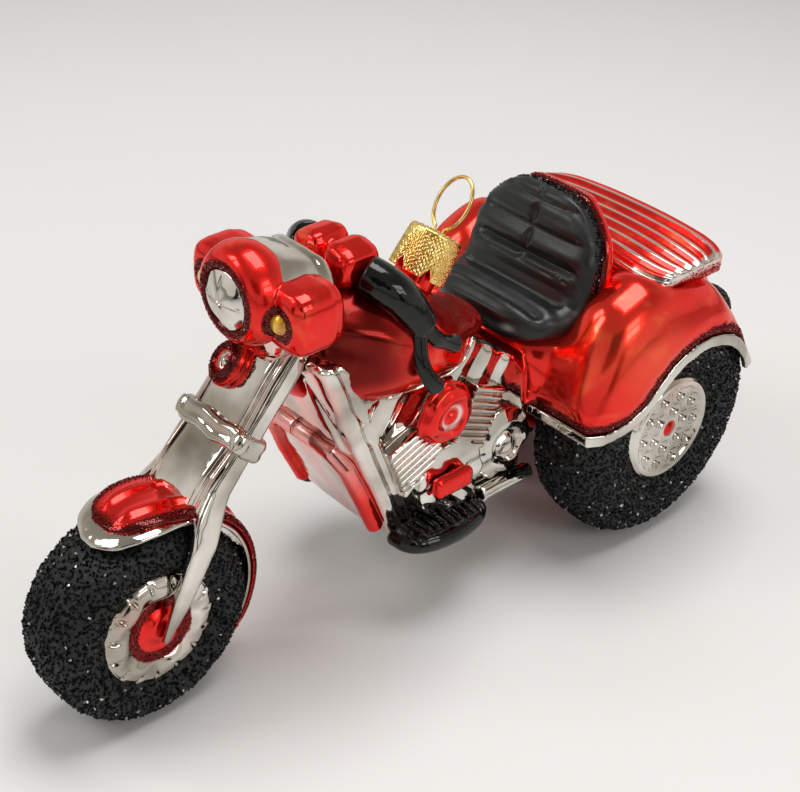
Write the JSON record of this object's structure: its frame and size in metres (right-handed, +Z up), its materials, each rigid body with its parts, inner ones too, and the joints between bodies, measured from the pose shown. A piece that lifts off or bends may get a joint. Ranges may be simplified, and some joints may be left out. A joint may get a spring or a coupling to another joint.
{
  "type": "glass motor trike ornament",
  "caption": "Silvered blown-glass tree ornament in the shape of a motor trike, lacquered and glittered, with a gilt crimped cap and a wire hanging loop.",
  "frame": {"origin": "on the floor under the three tyres, at the centre of the bounding box", "axes": "+X towards the front wheel, +Y to the rider's left, +Z up"},
  "size_m": [0.1414, 0.055, 0.0762],
  "materials": {
    "silvered_glass": "blown glass silvered on the inside, bright",
    "red_lacquer": "clear red lacquer over silvered glass",
    "black_glitter": "coarse crushed-glass glitter glued on, black",
    "black_lacquer": "glossy black lacquer",
    "matt_black": "matt grey-black paint",
    "amber_lacquer": "glossy amber lacquer",
    "gold_foil": "thin stamped metal, gilt, bright",
    "gold_wire": "gilt spring wire"
  },
  "bodies": {
    "glass": {"front_tyre": "black_glitter", "rear_tyre_left": "black_glitter", "rear_tyre_right": "black_glitter", "front_wheel": "silvered_glass", "front_hub": "red_lacquer", "rear_wheel_left": "silvered_glass", "rear_wheel_right": "silvered_glass", "mudguard_lip": "silvered_glass", "front_mudguard": "red_lacquer", "fork_leg_left": "silvered_glass", "fork_leg_right": "silvered_glass", "fork_web": "silvered_glass", "fork_clamp": "silvered_glass", "horn": "red_lacquer", "headlamp_shell": "red_lacquer", "headlamp_lens": "silvered_glass", "indicator_left": "amber_lacquer", "indicator_right": "amber_lacquer", "steering_head": "silvered_glass", "handlebar": "red_lacquer", "grip_left": "black_lacquer", "grip_right": "black_lacquer", "tank": "red_lacquer", "frame": "silvered_glass", "down_tube_left": "red_lacquer", "down_tube_right": "red_lacquer", "engine_left": "silvered_glass", "engine_right": "silvered_glass", "air_cleaner_left": "red_lacquer", "air_cleaner_right": "red_lacquer", "starter_left": "red_lacquer", "starter_right": "red_lacquer", "footboard_left": "black_lacquer", "footboard_right": "black_lacquer", "rail_left": "silvered_glass", "rail_right": "silvered_glass", "seat": "matt_black", "seat_shell": "red_lacquer", "rear_body": "red_lacquer", "fender_lip_left": "silvered_glass", "fender_lip_right": "silvered_glass", "lid": "red_lacquer", "tail_lamp_left": "black_glitter", "tail_lamp_right": "black_glitter"},
    "cap": {"cap": "gold_foil"},
    "hanger": {"hanger": "gold_wire"}
  },
  "joints": [
    {"name": "cap_turn", "type": "hinge", "parent": "glass", "child": "cap", "pos_m": [-0.00426, 0, 0.05846], "axis": [-0.5878, 0, 0.809], "continuous": true},
    {"name": "loop_slide", "type": "slide", "parent": "cap", "child": "hanger", "axis": [-0.5878, 0, 0.809], "range_m": [0, 0.003]}
  ]
}
